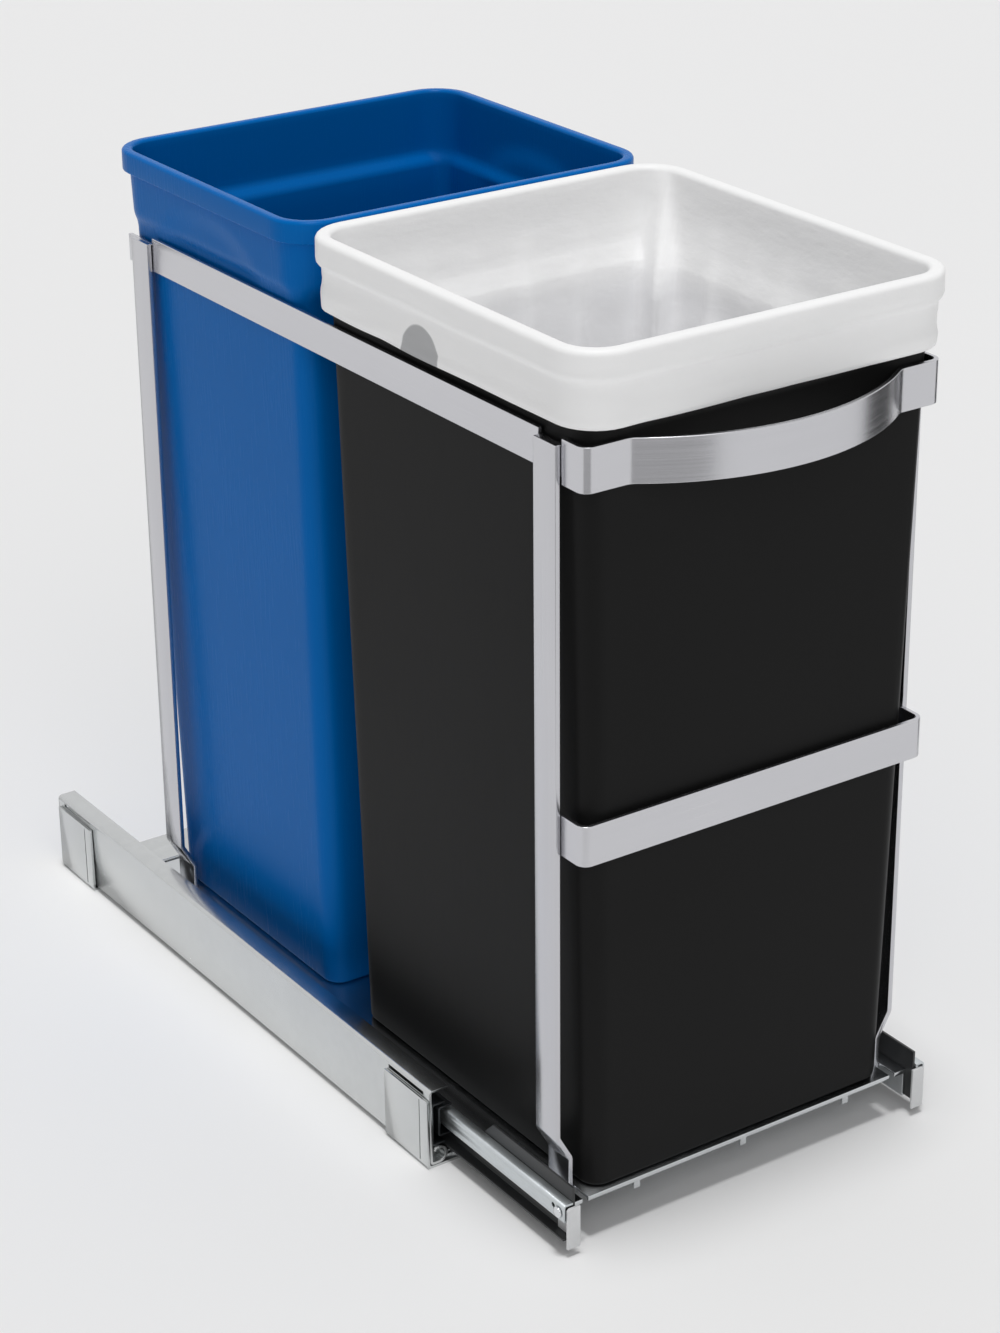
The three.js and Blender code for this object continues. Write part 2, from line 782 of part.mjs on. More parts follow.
// A plain bucket: its outer skin, the rolled lip, and its inner skin back down.
function bucketBlank(rects) {
  const lipFoot = rimHeight - lipHeight;
  const lip = [
    ring(rects.rim, 0.4, lipFoot + 0.8),
    ring(rects.rim, 0, lipFoot + 2),
    ring(rects.rim, 0, rimHeight - 2),
    ring(rects.rim, 0.7, rimHeight - 0.6),
    ring(rects.rim, 2.2, rimHeight),
    ring(rects.rim, rimLip + 0.6, rimHeight),
    ring(rects.rim, rimLip + bucketWall, rimHeight - 1.6),
  ];
  return loft([...bucketSide(rects, 0), ...lip, ...bucketSide(rects, bucketWall).reverse()]);
}

// The arched outline of a pressed hand grip on a side wall, in (y, z).
function gripArch(middle, grow) {
  const half = gripLength / 2 + grow;
  const base = shoulderLevel + shoulderRadius - grow;
  const steps = 10;
  const points = [];
  for (let step = 0; step <= steps; step++) {
    const angle = Math.PI * (1 - step / steps);
    const rise = (gripRise + 2 * grow) * Math.sin(angle);
    points.push(vector(middle + half * Math.cos(angle), base + rise));
  }
  return new THREE.Shape(points);
}

// A bucket with a hand grip pressed into each side of its collar.
function bucketShell(bucket) {
  const middle = (bucket.front + bucket.back) / 2;
  const face = rimHalfWidth - rimLip - gripDepth;
  const patch = alongX(gripArch(middle, bucketWall), face - bucketWall, face + clearance);
  const hollow = alongX(gripArch(middle, 0), face, rimHalfWidth - clearance);
  const blank = solidOf(bucketBlank(bucketRects(bucket)));
  const patched = [patch, mirrored(patch)].map(solidOf).reduce((all, one) => all.add(one), blank);
  return geometryOf(
    [hollow, mirrored(hollow)].map(solidOf).reduce((all, one) => all.subtract(one), patched),
  );
}

// The liner bag of the front bucket: it lines the inside, folds over the rim and
// hangs outside as a cuff. `sheet` is how far a skin lies from the bucket's side of it.
function linerBag(bucket) {
  const { rim, top, bottom } = bucketRects(bucket);
  const inside = bucketWall + gripDepth + bucketWall + clearance;
  const gripTop = shoulderLevel + shoulderRadius + gripRise;
  const lipFoot = rimHeight - lipHeight;
  const bagFloor = bucketFloor + linerFloor;
  const cuff = rimLip - linerFlare - clearance;
  const film = (sheet) => [
    ring(bottom, inside + sheet + 3, bagFloor + sheet),
    ring(bottom, inside + sheet, bagFloor + 6),
    ring(top, inside + sheet, shoulderLevel),
    ring(rim, rimLip + inside + sheet, shoulderLevel + shoulderRadius + 4),
    ring(rim, rimLip + inside + sheet, gripTop + 3),
    ring(rim, rimLip + bucketWall + clearance + sheet, rimHeight - 1.8),
    ring(rim, rimLip + 1 + sheet / 2, rimHeight + clearance + sheet),
    ring(rim, 1.9, rimHeight + clearance + sheet),
    ring(rim, 0.3 - sheet * 0.6, rimHeight - clearance + sheet * 0.7),
    ring(rim, -clearance - sheet, rimHeight - 1.8),
    ring(rim, -clearance - sheet, lipFoot - 1.5),
    ring(rim, cuff - sheet, lipFoot - 5),
    ring(rim, cuff + 0.4 - sheet, rimHeight - linerDrop),
  ];
  return loft([...film(0), ...film(linerSheet).reverse()]);
}

// ---------------------------------------------------------------- assembly

const rearFootFront = railRear - rearFootInset - footLength;

placePair("fixed_rail", rail(), "zinc");
placePair("front_foot", foot(railFront), "zinc");
placePair("rear_foot", foot(rearFootFront), "zinc");
place("front_cross_tie", crossTie(railFront + footLength / 2), "zinc");
place("rear_cross_tie", crossTie(rearFootFront + footLength / 2), "zinc");

const outerMember = member(outerWebOuter, outerLip, outerSlideHalf, slideFront, slideRear);
const middleMember = member(
  middleWebOuter,
  middleLip,
  middleSlideHalf,
  middleSlideFront,
  middleSlideRear,
);
placePair("slide_outer", outerMember, "cageSteel");
placePair("slide_middle", middleMember, "cageSteel");
placePair("slide_inner", innerMember(), "slideSteel");
placePair("outer_ball_cage", outerCage(), "cageSteel");
placePair("inner_ball_cage", innerCage(), "cageSteel");

place("tray", tray(), "zinc");
placePair("front_post", post(frontPostFront), "brushedSteel");
placePair("rear_post", post(rearPostFront), "brushedSteel");
placePair("side_strap", sideStrap(), "brushedSteel");
place("handle_band", handleBand(), "brushedSteel");
place("middle_band", middleBand(), "brushedSteel");
placePair("side_channel", sideChannel(), "blackSteel");
placePair("end_plate", endPlate(), "paleZinc");
placePair("front_screw", frontScrew(), "slideSteel");

place("rear_bucket", bucketShell(rearBucket), "bluePlastic");
place("front_bucket", bucketShell(frontBucket), "blackPlastic");
place("liner_bag", linerBag(frontBucket), "film");

const model = new THREE.Group();
model.add(unit);

export default model;
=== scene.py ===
# %% [markdown]
# # A pull-out waste unit
# The real object stands on the floor of a kitchen cabinet. A steel carriage with two
# plastic bins slides out on telescopic runners, and the front bin holds a liner bag.
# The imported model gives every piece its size, its place and the body it moves with.
# This file gives each piece its surface, piece by piece, and never moves any of them.

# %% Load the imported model
import json
import math

import bmesh
import bpy
from mathutils import Matrix, Vector, noise


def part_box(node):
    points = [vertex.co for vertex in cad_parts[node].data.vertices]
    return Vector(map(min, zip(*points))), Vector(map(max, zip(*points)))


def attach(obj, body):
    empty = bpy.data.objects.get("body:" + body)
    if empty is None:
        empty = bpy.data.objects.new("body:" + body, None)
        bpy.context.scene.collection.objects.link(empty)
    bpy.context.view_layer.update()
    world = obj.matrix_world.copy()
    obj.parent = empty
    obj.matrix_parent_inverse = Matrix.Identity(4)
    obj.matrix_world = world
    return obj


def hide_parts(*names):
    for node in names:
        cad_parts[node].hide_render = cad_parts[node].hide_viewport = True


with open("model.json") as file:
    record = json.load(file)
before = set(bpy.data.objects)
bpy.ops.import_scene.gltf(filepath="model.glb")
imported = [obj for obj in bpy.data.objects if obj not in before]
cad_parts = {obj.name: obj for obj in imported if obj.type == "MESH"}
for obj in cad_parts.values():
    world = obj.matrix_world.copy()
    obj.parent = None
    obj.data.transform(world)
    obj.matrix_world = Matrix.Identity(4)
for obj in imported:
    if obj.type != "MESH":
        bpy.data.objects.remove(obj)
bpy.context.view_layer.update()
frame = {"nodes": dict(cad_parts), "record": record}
nodes = frame["nodes"]
print("pieces in the packed model:", len(nodes))

# %% [markdown]
# ## Units and named places
# Blender works in metres, and the real unit is drawn in millimetres, so every length here
# is written as a number of MM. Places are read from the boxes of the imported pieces
# where that is possible, so that a new shape can't drift away from its neighbours.

# %% Millimetres, boxes and bodies
MM = 0.001

body_of_node = {
    node: body
    for body, members in frame["record"]["behaviour"]["bodies"].items()
    for node in members
}


def low(node):
    """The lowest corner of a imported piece."""
    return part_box(node)[0]


def high(node):
    """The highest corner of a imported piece."""
    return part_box(node)[1]


rim_top = high("front_bucket").z
floor_of_bins = low("front_bucket").z
strap_inner = low("side_strap_right").x
print("rims at", round(rim_top / MM, 1), "mm, straps at", round(strap_inner / MM, 1), "mm")

# %% [markdown]
# ## The camera
# The picture was taken from the left front, from above, with a long lens. The place and
# the turn were found by matching edges of the unit, and the lens follows from the same
# match: the distance to the picture plane in pixels, over the height of the picture.

# %% Camera
PICTURE_HEIGHT = 1333
FOCAL_PIXELS = 3154.9
camera_place = Vector((-899.36, -1345.99, 943.74)) * MM
camera_turn = math.radians(-34.20)
camera_fall = math.radians(24.51)
camera_roll = math.radians(-0.55)

lens = bpy.data.cameras.new("camera")
lens.sensor_width = 36
lens.lens = lens.sensor_width * FOCAL_PIXELS / PICTURE_HEIGHT
camera = bpy.data.objects.new("camera", lens)
camera.matrix_world = (
    Matrix.Translation(camera_place)
    @ Matrix.Rotation(camera_turn, 4, "Z")
    @ Matrix.Rotation(math.pi / 2 - camera_fall, 4, "X")
    @ Matrix.Rotation(camera_roll, 4, "Z")
)
bpy.context.scene.collection.objects.link(camera)
bpy.context.scene.camera = camera
print("lens", round(lens.lens, 1), "mm")

# %% [markdown]
# ## Writing shader maths as sums
# A finish is a small formula: some noise, times an amount, plus a middle value. Blender
# draws each step as a Math node. The class below lets a socket stand in a Python sum,
# and each sign adds the node that does it, so the formula can be read as a formula.


# %% Sockets that can be added and multiplied
class Value:
    """A socket of numbers that can be used in sums."""

    def __init__(self, tree, socket):
        self.tree = tree
        self.socket = socket

    def maths(self, operation, first, second):
        """The result of one Math node."""
        node = self.tree.nodes.new("ShaderNodeMath")
        node.operation = operation
        for place, number in zip(node.inputs, (first, second)):
            feed(self.tree, place, number)
        return Value(self.tree, node.outputs[0])

    def __add__(self, other):
        return self.maths("ADD", self, other)

    def __rsub__(self, other):
        return self.maths("SUBTRACT", other, self)

    def __mul__(self, other):
        return self.maths("MULTIPLY", self, other)

    def __pow__(self, other):
        return self.maths("POWER", self, other)

    def share(self):
        """The value, kept between 0 and 1."""
        return self.maths("MAXIMUM", self.maths("MINIMUM", self, 1), 0)

    __radd__ = __add__
    __rmul__ = __mul__


def feed(tree, place, value):
    """Gives a node's input a number, a colour or a link."""
    if isinstance(value, Value):
        tree.links.new(value.socket, place)
    else:
        place.default_value = value


# %% [markdown]
# ## One material, with its nodes
# Every finish is a Principled shader. What is the same all over is set on the shader's
# own sockets. What varies is fed by nodes, and one method adds any kind of node: its
# settings first, because they decide which sockets it has, and then its inputs.


# %% Finish
class Finish:
    """A material built round one Principled shader."""

    def __init__(self, name, **constants):
        self.material = bpy.data.materials.new(name)
        self.material.use_nodes = True
        self.tree = self.material.node_tree
        self.shader = self.tree.nodes["Principled BSDF"]
        for socket, value in constants.items():
            self.shader.inputs[socket.replace("_", " ")].default_value = value

    def add(self, kind, settings=None, inputs=None, output=0):
        """Adds a node of any kind, and gives one of its outputs."""
        node = self.tree.nodes.new(kind)
        for name, value in (settings or {}).items():
            setattr(node, name, value)
        for name, value in (inputs or {}).items():
            feed(self.tree, node.inputs[name], value)
        return Value(self.tree, node.outputs[output])

    def place(self, stretch=(1, 1, 1)):
        """Object coordinates in metres, stretched along each axis."""
        spot = self.add("ShaderNodeTexCoord", output="Object")
        return self.add("ShaderNodeMapping", None, {"Vector": spot, "Scale": stretch})

    def cloud(self, size, stretch=(1, 1, 1), detail=2):
        """Soft noise between 0 and 1 with lumps of about the given size."""
        inputs = {"Vector": self.place(stretch), "Scale": 1 / size, "Detail": detail}
        return self.add("ShaderNodeTexNoise", None, inputs)

    def height(self):
        """The height of each point above the cabinet floor."""
        return self.add("ShaderNodeSeparateXYZ", None, {"Vector": self.place()}, output="Z")

    def distance(self, spot):
        """How far each point lies from one spot."""
        inputs = {0: self.place(), 1: spot}
        return self.add("ShaderNodeVectorMath", {"operation": "DISTANCE"}, inputs, output="Value")

    def grains(self, size):
        """A number between 0 and 1 for each grain of a crystal pattern."""
        inputs = {"Vector": self.place(), "Scale": 1 / size}
        colour = self.add("ShaderNodeTexVoronoi", None, inputs, output="Color")
        return self.add("ShaderNodeSeparateColor", None, {"Color": colour})

    def blend(self, first, second, share):
        """A colour between two colours. A Mix node has its colour sockets at 6, 7 and 2."""
        inputs = {0: share, 6: first, 7: second}
        return self.add("ShaderNodeMix", {"data_type": "RGBA"}, inputs, output=2)

    def vary(self, socket, value):
        """Feeds a value that varies over the surface to the shader."""
        feed(self.tree, self.shader.inputs[socket], value)

    def relief(self, height, depth, strength=1.0):
        """Bumps the surface by a height between 0 and 1, so many metres deep."""
        inputs = {"Height": height, "Distance": depth, "Strength": strength}
        self.vary("Normal", self.add("ShaderNodeBump", None, inputs))


def seen(red, green, blue):
    """The colour that is seen as these 0 to 255 values on a screen."""
    parts = [part / 255 for part in (red, green, blue)]
    return tuple(p / 12.92 if p <= 0.04045 else ((p + 0.055) / 1.055) ** 2.4 for p in parts) + (1,)


def shade(colour, amount):
    """A colour made darker or lighter."""
    return tuple(min(part * amount, 1) for part in colour[:3]) + (1,)


# %% [markdown]
# ## Moulded plastic
# Both bins are injection-moulded polypropylene. The mould leaves a very fine grain, the
# colour is slightly uneven where the melt cooled at different speeds, and years of bags
# leave hairline scuffs that mostly run up and down. The blue bin is glossier.


# %% Plastic finishes
COOLING_LUMPS = 90 * MM
SCUFF_WIDTH = 1.6 * MM
SCUFF_STRETCH = (1, 1, 0.06)
SCUFF_CONTRAST = 6
MOULD_GRAIN = 0.7 * MM


def moulded_plastic(name, colour, roughness, grain_depth):
    """A plastic with an uneven colour, scuffs and a fine grain."""
    finish = Finish(name, IOR=1.49, Specular_IOR_Level=0.06)
    uneven = finish.cloud(COOLING_LUMPS)
    scuffs = finish.cloud(SCUFF_WIDTH, SCUFF_STRETCH, detail=3) ** SCUFF_CONTRAST
    finish.vary("Base Color", finish.blend(shade(colour, 0.95), shade(colour, 1.05), uneven))
    finish.vary("Roughness", roughness - 0.04 + 0.08 * uneven + 0.3 * scuffs)
    finish.relief(finish.cloud(MOULD_GRAIN, detail=3), grain_depth)
    return finish.material


blue_plastic = moulded_plastic("blue_plastic", seen(0, 104, 184), 0.26, 0.02 * MM)
black_plastic = moulded_plastic("black_plastic", seen(30, 30, 30), 0.4, 0.05 * MM)
print("plastics:", blue_plastic.name, black_plastic.name)

# %% [markdown]
# ## Brushed strip steel
# Posts, straps and bands are cut from stainless strip that was ground along its length.
# The streaks are noise that is drawn out along one axis. A strip that is bent round a
# corner in plan keeps the same height, so streaks that depend on height follow the bend.


# %% Brushed steel
STREAK_WIDTH = 0.5 * MM
STREAK_DEPTH = 0.012 * MM
BROAD_MARKS = 60 * MM
LONG = 0.004  # how much the noise is slowed along the streaks


def brushed_steel(name, colour, streak_stretch):
    """Bright steel with fine streaks and a slow change in tone."""
    finish = Finish(name, Metallic=1.0)
    streaks = finish.cloud(STREAK_WIDTH, streak_stretch, detail=4)
    broad = finish.cloud(BROAD_MARKS)
    marks = 0.7 * streaks + 0.3 * broad
    finish.vary("Base Color", finish.blend(shade(colour, 0.9), shade(colour, 1.08), marks))
    finish.vary("Roughness", 0.15 + 0.14 * streaks + 0.04 * broad)
    finish.relief(streaks, STREAK_DEPTH)
    return finish.material


brushed_level = brushed_steel("brushed_steel_level", seen(208, 208, 212), (LONG, LONG, 1))
brushed_upright = brushed_steel("brushed_steel_upright", seen(204, 204, 208), (1, 1, LONG))
print("brushed steels:", brushed_level.name, brushed_upright.name)

# %% [markdown]
# ## Zinc plated sheet
# Rails, feet and tray are bent from zinc coated sheet. Zinc freezes in crystals, a few
# millimetres across, that differ a little in brightness. Voronoi cells give that, and a
# slow cloud dulls some areas, as handling does. The slides are drawn through rollers, so
# their marks run lengthways.


# %% Zinc, slide steel and small parts
HANDLED_AREAS = 35 * MM
ROLLING_MARKS = 0.6 * MM
ROLLING_DEPTH = 0.01 * MM
PEEL_LUMPS = 1.8 * MM
PEEL_DEPTH = 0.03 * MM
RUBBED_AREAS = 22 * MM
ALONG_Y = (1, 0.01, 1)


def zinc_sheet(name, colour, roughness, crystal=5 * MM, rolled=(1, 1, 1)):
    """Zinc coated steel with crystals, handled areas and rolling marks."""
    finish = Finish(name, Metallic=1.0)
    crystals = finish.grains(crystal)
    handled = finish.cloud(HANDLED_AREAS, detail=4)
    rolling = finish.cloud(ROLLING_MARKS, rolled, detail=3)
    brightness = 0.15 * crystals + 0.45 * handled + 0.4 * rolling
    finish.vary("Base Color", finish.blend(shade(colour, 0.88), shade(colour, 1.1), brightness))
    finish.vary("Roughness", roughness - 0.06 + 0.1 * handled + 0.03 * crystals)
    finish.relief(rolling, ROLLING_DEPTH)
    return finish.material


def coated_steel(name, colour, roughness, metallic=0.0):
    """Painted or dull plated steel, with a faint orange peel and rubbed areas."""
    finish = Finish(name, Metallic=metallic)
    orange_peel = finish.cloud(PEEL_LUMPS)
    rubbed = finish.cloud(RUBBED_AREAS, detail=5)
    finish.vary("Base Color", finish.blend(shade(colour, 0.85), shade(colour, 1.2), rubbed))
    finish.vary("Roughness", roughness - 0.06 + 0.14 * rubbed)
    finish.relief(orange_peel, PEEL_DEPTH)
    return finish.material


zinc = zinc_sheet("zinc_sheet", seen(206, 208, 208), 0.22)
tray_zinc = zinc_sheet("tray_zinc", seen(204, 207, 209), 0.18)
slide_steel = zinc_sheet("slide_steel", seen(206, 211, 213), 0.36, 9 * MM, ALONG_Y)
# Painted shade: a darker copy of the slide steel, for the parts that sit inside the rails.
cage_steel = zinc_sheet("cage_steel", seen(74, 76, 78), 0.4, 9 * MM, ALONG_Y)
screw_steel = zinc_sheet("screw_steel", seen(222, 224, 226), 0.18, 1.5 * MM)
black_steel = coated_steel("black_steel", seen(44, 45, 46), 0.38)
pale_zinc = coated_steel("pale_zinc", seen(214, 215, 216), 0.42, metallic=0.35)
print("metals:", zinc.name, slide_steel.name, black_steel.name, pale_zinc.name)

# %% [markdown]
# ## Liner film
# The liner is thin polyethylene film: white, a little glossy, and full of shallow
# creases. The large folds are modelled. The finish adds the fine crumple, which is drawn
# out along the rim where the film is pulled tight over it, and paints the crumple's hollows
# a little darker as painted shade. A faint painted glow stands for the light that passes
# through the film. Below the collar the film is painted greyer: painted shade for the deep
# inside of the bin, together with the single layer of film that hangs free of the wall.
# On the left of the cuff the black bin shows through as a round grey patch.


# %% Film
FILM_WHITE = seen(243, 243, 243)
# Painted shade greys the lower bag: its grey, where it starts below the rim, and its fade.
FILM_SHADE_GREY = seen(228, 228, 230)
SHADE_START_DROP = 46 * MM  # from the rim down to where the bag turns grey
SHADE_FADE = 16 * MM
CRUMPLE = 26 * MM
CRUMPLE_DEPTH = 1.4 * MM
FINE_CRUMPLE = 5 * MM
CUFF_DROP = 38 * MM
PATCH_GREY = seen(156, 157, 159)
PATCH_RADIUS = 17 * MM
PATCH_EDGE = 1 * MM
patch_middle = (low("front_bucket").x, -121 * MM, rim_top - CUFF_DROP)


def liner_film_finish():
    """White film with a faint painted glow, which stands in for the light that passes through it.
    """
    # Painted glow: a faint white emission stands in for light passing through the film.
    glow = {"Emission_Color": seen(250, 250, 250), "Emission_Strength": 0.09}
    finish = Finish("liner_film", IOR=1.5, Specular_IOR_Level=0.35, **glow)
    crumple = finish.cloud(CRUMPLE, stretch=(1, 1, 1.8), detail=4)
    fine = finish.cloud(FINE_CRUMPLE, stretch=(0.5, 0.5, 1.4), detail=3)
    # Painted shade: the film is a little darker where the crumple is low, in the hollows of its
    # bump.
    uneven = finish.blend(shade(FILM_WHITE, 0.95), FILM_WHITE, crumple)
    # Painted shade: below the collar the film is greyed, for the shade deep in the bin and its
    # single layer.
    deep = ((rim_top - SHADE_START_DROP - finish.height()) * (1 / SHADE_FADE)).share()
    shaded_film = finish.blend(uneven, FILM_SHADE_GREY, 0.8 * deep)
    patch = ((PATCH_RADIUS - finish.distance(patch_middle)) * (1 / PATCH_EDGE)).share()
    finish.vary("Base Color", finish.blend(shaded_film, PATCH_GREY, patch))
    finish.vary("Roughness", 0.42 + 0.16 * crumple)
    finish.relief(0.75 * crumple + 0.25 * fine, CRUMPLE_DEPTH, strength=0.5)
    return finish.material


liner_film = liner_film_finish()

# %% [markdown]
# ## From a bmesh to a finished piece
# All new shapes end the same way. The mesh gets an object at the origin, a finish, and
# the body that it moves with. Folded sheet has edges that are never quite sharp, and
# they catch the light, so most pieces get a narrow Bevel modifier. Its hardened normals
# keep the flat faces flat while the shading is smooth.


# %% Finishing a piece
BEND_ANGLE = math.radians(40)  # a bend sharper than this is an edge
FLAT_ANGLE = math.radians(0.5)
SAME_SPOT = 0.002 * MM


def finish_piece(shape, name, node, finish, edge=None):
    """Makes an object of a bmesh, in place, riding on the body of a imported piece."""
    mesh = bpy.data.meshes.new(name)
    shape.to_mesh(mesh)
    shape.free()
    mesh.materials.clear()
    mesh.materials.append(finish)
    mesh.polygons.foreach_set("use_smooth", [True] * len(mesh.polygons))
    mesh.polygons.foreach_set("material_index", [0] * len(mesh.polygons))
    piece = bpy.data.objects.new(name, mesh)
    bpy.context.scene.collection.objects.link(piece)
    if edge:
        bevel = piece.modifiers.new("edges", "BEVEL")
        bevel.width = edge
        bevel.segments = 2
        bevel.limit_method = "ANGLE"
        bevel.angle_limit = BEND_ANGLE
        bevel.harden_normals = True
    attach(piece, body_of_node[node])
    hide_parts(node)
    return piece


def refined(node, finish, edge=0.25 * MM):
    """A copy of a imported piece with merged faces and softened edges."""
    shape = bmesh.new()
    shape.from_mesh(nodes[node].data)
    bmesh.ops.remove_doubles(shape, verts=shape.verts, dist=SAME_SPOT)
    bmesh.ops.dissolve_limit(
        shape, angle_limit=FLAT_ANGLE, verts=shape.verts, edges=shape.edges
    )
    return finish_piece(shape, f"{node}_finished", node, finish, edge)


# %% [markdown]
# ## Sheet and slide pieces
# The imported pieces that are bent from sheet already have their true shape. A copy of
# each is merged, because a imported mesh is loose triangles, and its edges are softened.
# The ball cages sit deep inside the slides, so they stay as they are with a finish.
# They and the outer and middle slides get a darker copy of the slide steel, as painted
# shade for the inside of the rails.

# %% Copies with softened edges
SIDES = ("right", "left")
sheet_pieces = {
    "fixed_rail": (zinc, "zinc", 0.25 * MM),
    "front_foot": (zinc, "zinc", 0.25 * MM),
    "rear_foot": (zinc, "zinc", 0.25 * MM),
    # The outer and middle slides take the darker steel of painted shade.
    "slide_outer": (cage_steel, "cage_steel", 0.2 * MM),
    "slide_middle": (cage_steel, "cage_steel", 0.2 * MM),
    "slide_inner": (slide_steel, "slide_steel", 0.2 * MM),
    "front_post": (brushed_upright, "brushed_band", 0.45 * MM),
    "rear_post": (brushed_upright, "brushed_band", 0.45 * MM),
    "side_strap": (brushed_level, "brushed_band", 0.4 * MM),
    "side_channel": (black_steel, "black_steel", 0.25 * MM),
    "end_plate": (pale_zinc, "pale_zinc", 0.25 * MM),
    "front_screw": (screw_steel, "screw_steel", 0.1 * MM),
}
for stem, (finish, slot, edge) in sheet_pieces.items():
    for side in SIDES:
        refined(f"{stem}_{side}", finish, edge)
single_pieces = {"front_cross_tie": zinc, "rear_cross_tie": zinc, "tray": tray_zinc}
for node, finish in single_pieces.items():
    refined(node, finish)
for stem in ("outer_ball_cage", "inner_ball_cage"):
    for side in SIDES:
        nodes[f"{stem}_{side}"].material_slots[0].material = cage_steel
print("sheet pieces:", len(SIDES) * len(sheet_pieces) + len(single_pieces))

# %% [markdown]
# ## The two bands across the front
# Each band is one steel strip, bent round the front corners of the carriage. The upper
# one also bows forwards as the pull handle. A strip is easy to make from its line in
# plan: a few points, arcs where it bends, drawn up to its height and given a thickness.
# The bow is a true arc from a spin, because a polygon would break up its reflections.


# %% Bands
BAND_SHEET = 2.5 * MM
BAND_BEND = 6 * MM
BOW_HALF = 82 * MM
BOW_END_BEND = 8 * MM
BAND_EDGE = 0.45 * MM
BEND_STEPS = 8
BOW_STEPS = 56


def bend(shape, corner, radius):
    """Rounds one corner of a line of edges."""
    bmesh.ops.bevel(
        shape,
        geom=[corner],
        offset=radius,
        segments=BEND_STEPS,
        profile=0.5,
        affect="VERTICES",
        material=-1,
    )


def chain(shape, spots):
    """Vertices joined by edges, in order."""
    points = [
        spot if isinstance(spot, bmesh.types.BMVert) else shape.verts.new(spot)
        for spot in spots
    ]
    for first, second in zip(points, points[1:]):
        shape.edges.new((first, second))
    return points


def front_band(node, bow_depth=0):
    """The outer face of a band, as a strip one face high."""
    bottom = low(node).z
    outer = high(node).x
    back = high(node).y
    front = low(node).y + bow_depth
    shape = bmesh.new()
    middle = []
    if bow_depth:
        radius = (BOW_HALF**2 + bow_depth**2) / (2 * bow_depth)
        sweep = 2 * math.asin(BOW_HALF / radius)
        start = shape.verts.new((-BOW_HALF, front, bottom))
        arc = bmesh.ops.spin(
            shape,
            geom=[start],
            cent=(0, front - bow_depth + radius, bottom),
            axis=(0, 0, 1),
            angle=sweep,
            steps=BOW_STEPS,
        )
        end = next(item for item in arc["geom_last"] if isinstance(item, bmesh.types.BMVert))
        middle = [start, end]
    left = chain(shape, [(-outer, back, bottom), (-outer, front, bottom)] + middle[:1])
    right = chain(shape, middle[1:] + [(outer, front, bottom), (outer, back, bottom)])
    if not middle:
        shape.edges.new((left[-1], right[0]))
        corners = [left[1], right[0]]
    else:
        corners = [left[1], right[1]]
        # The strip turns by half the sweep here, and a bend starts at the tangent of
        # half its turn away from the corner.
        for bow_end in middle:
            bend(shape, bow_end, BOW_END_BEND * math.tan(sweep / 4))
    for corner in corners:
        bend(shape, corner, BAND_BEND)
    wall = bmesh.ops.extrude_edge_only(shape, edges=shape.edges[:])
    raised = [item for item in wall["geom"] if isinstance(item, bmesh.types.BMVert)]
    bmesh.ops.translate(shape, vec=(0, 0, high(node).z - bottom), verts=raised)
    return shape


def thicken(shape, inwards):
    """Gives a strip its thickness on its inner side."""
    bmesh.ops.recalc_face_normals(shape, faces=shape.faces)
    leading = max(shape.faces, key=lambda face: face.calc_center_median().x)
    if leading.normal.x < 0:
        bmesh.ops.reverse_faces(shape, faces=shape.faces)
    bmesh.ops.solidify(shape, geom=shape.faces[:], thickness=inwards)


middle_strip = front_band("middle_band")
thicken(middle_strip, BAND_SHEET)
finish_piece(
    middle_strip, "middle_band_strip", "middle_band", brushed_level, BAND_EDGE
)

# %% [markdown]
# ## The ends of the handle band
# Behind the front posts the handle band is trimmed to the height of the side straps that
# carry it on. The strip is cut along three planes, and the faces that the trim removes
# are deleted before it gets its thickness.

# %% Handle
BOW_DEPTH = 27 * MM
POST_GAP = 0.3 * MM
LAP_DROP = 0.5 * MM  # strap tops under the post tops


def slice_along(shape, place, normal):
    """Cuts every face along a plane, and keeps both sides."""
    everything = shape.verts[:] + shape.edges[:] + shape.faces[:]
    bmesh.ops.bisect_plane(shape, geom=everything, plane_co=place, plane_no=normal)


handle_strip = front_band("handle_band", BOW_DEPTH)
trim_front = low("front_post_right").y - POST_GAP
trim_top = high("front_post_right").z - LAP_DROP
trim_bottom = low("side_strap_right").z
slice_along(handle_strip, (0, trim_front, 0), (0, 1, 0))
slice_along(handle_strip, (0, 0, trim_top), (0, 0, 1))
slice_along(handle_strip, (0, 0, trim_bottom), (0, 0, 1))
trimmed = [
    face
    for face in handle_strip.faces
    if face.calc_center_median().y > trim_front
    and not trim_bottom < face.calc_center_median().z < trim_top
]
bmesh.ops.delete(handle_strip, geom=trimmed, context="FACES")
thicken(handle_strip, BAND_SHEET)
handle = finish_piece(
    handle_strip, "handle_band_strip", "handle_band", brushed_level, BAND_EDGE
)
print("handle:", len(handle.data.polygons), "faces")

# %% [markdown]
# ## Loops of edges for the bins
# A bin is a stack of rounded rectangles: foot, shoulder, collar and lip. Each loop starts
# as one face with four corners, whose corners are rounded by a vertex bevel. The long
# sides are divided evenly, so that every loop has the same number of points and two
# neighbouring loops can be bridged by neat quads.


# %% Rounded loops
CORNER_STEPS = 8
LEAST_CORNER = 3 * MM


class Outline:
    """A rectangle in plan: half width, front, back and corner radius."""

    def __init__(self, half, front, back, radius):
        self.half = half
        self.front = front
        self.back = back
        self.radius = radius

    def inside(self, inset):
        """The same outline, moved in all round."""
        radius = max(self.radius - inset, LEAST_CORNER)
        return Outline(self.half - inset, self.front + inset, self.back - inset, radius)


